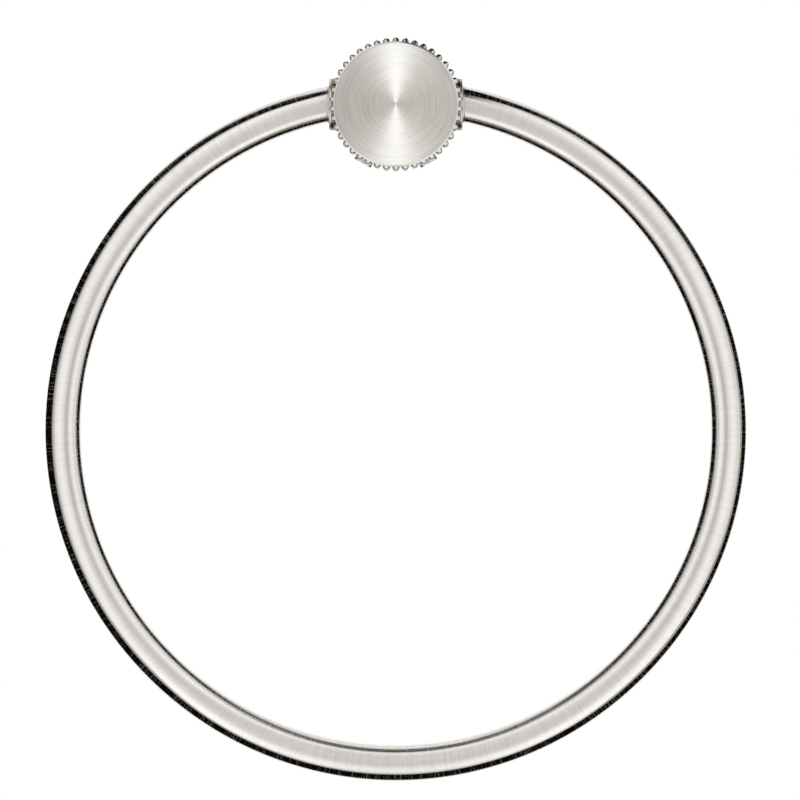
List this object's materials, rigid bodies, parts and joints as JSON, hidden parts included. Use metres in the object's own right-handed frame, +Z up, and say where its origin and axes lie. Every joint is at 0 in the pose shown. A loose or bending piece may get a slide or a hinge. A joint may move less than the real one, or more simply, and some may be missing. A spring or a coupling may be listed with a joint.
{
  "type": "towel ring",
  "caption": "Round-bar towel ring hung from a ridged cylindrical wall post with a flat turned cap; the ring swings on pins in the post's side bosses.",
  "frame": {"origin": "on the post's axis at the wall face, at the middle of the bracket's back", "axes": "+Z up, +Y into the wall, so the front faces -Y, and +X to the right as seen from the front"},
  "size_m": [0.178, 0.0505, 0.1886],
  "materials": {
    "brushed_ring": "nickel, brushed around the bar",
    "pivot_metal": "nickel, satin",
    "bush_metal": "nickel, satin",
    "ridged_post": "nickel, polished on the ridges",
    "turned_cap": "nickel, turned in fine circles",
    "bracket_zinc": "zinc, as cast",
    "screw_steel": "dark steel"
  },
  "bodies": {
    "post": {"post_barrel": "ridged_post", "front_cap": "turned_cap", "bush_left": "bush_metal", "bush_right": "bush_metal", "wall_bracket": "bracket_zinc", "set_screws": "screw_steel"},
    "ring": {"ring": "brushed_ring", "pivot_pin_left": "pivot_metal", "pivot_pin_right": "pivot_metal"}
  },
  "joints": [
    {"name": "ring_swing", "type": "hinge", "parent": "post", "child": "ring", "pos_m": [0, -0.034, 0], "axis": [-1, 0, 0], "range_deg": [-10, 190]}
  ]
}
